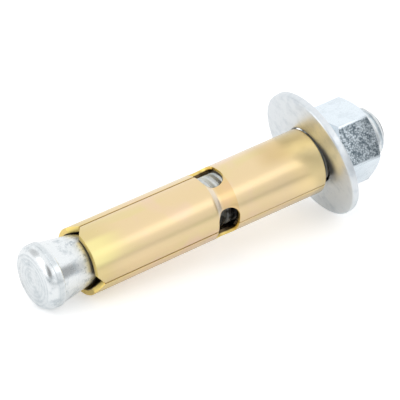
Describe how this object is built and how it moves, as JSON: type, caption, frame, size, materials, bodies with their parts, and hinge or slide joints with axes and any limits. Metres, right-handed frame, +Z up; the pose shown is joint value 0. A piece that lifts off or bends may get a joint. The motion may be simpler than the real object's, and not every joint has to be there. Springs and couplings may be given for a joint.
{
  "type": "sleeve anchor",
  "caption": "Sleeve anchor lying on its side: a threaded stud with a cone head inside a slotted sleeve, with a loose leaning washer and a hex nut that draws the cone in.",
  "frame": {"origin": "on the ground under the middle of the anchor's bounding box, as it lies on its head's rim and its washer's rim", "axes": "+X along the anchor from its cone head to its nut, whose axis rises about 5 degrees, +Z up, -Y towards the side that the front leg faces"},
  "size_m": [0.0762, 0.0254, 0.0248],
  "materials": {
    "bright_zinc": "satin",
    "yellow_zinc": "satin",
    "bright_zinc_washer": "satin",
    "bright_zinc_nut": "satin"
  },
  "bodies": {
    "sleeve_body": {"sleeve": "yellow_zinc"},
    "stud_body": {"stud": "bright_zinc"},
    "nut_body": {"nut": "bright_zinc_nut"},
    "washer_body": {"washer": "bright_zinc_washer"}
  },
  "joints": [
    {"name": "nut_turn", "type": "hinge", "parent": "sleeve_body", "child": "nut_body", "pos_m": [0.03023, 0, 0.01233], "axis": [0.9957, 0, 0.0927], "range_deg": [0, 1800]},
    {"name": "stud_draw", "type": "slide", "parent": "sleeve_body", "child": "stud_body", "axis": [0.9957, 0, 0.0927], "range_m": [-0.00794, 0]},
    {"name": "washer_turn", "type": "hinge", "parent": "sleeve_body", "child": "washer_body", "pos_m": [0.02397, 0, 0.01238], "axis": [0.9654, 0, 0.2609], "continuous": true}
  ],
  "couplings": [
    {"joint": "nut_turn", "follows": "stud_draw", "rad_per_m": -3957.9}
  ]
}
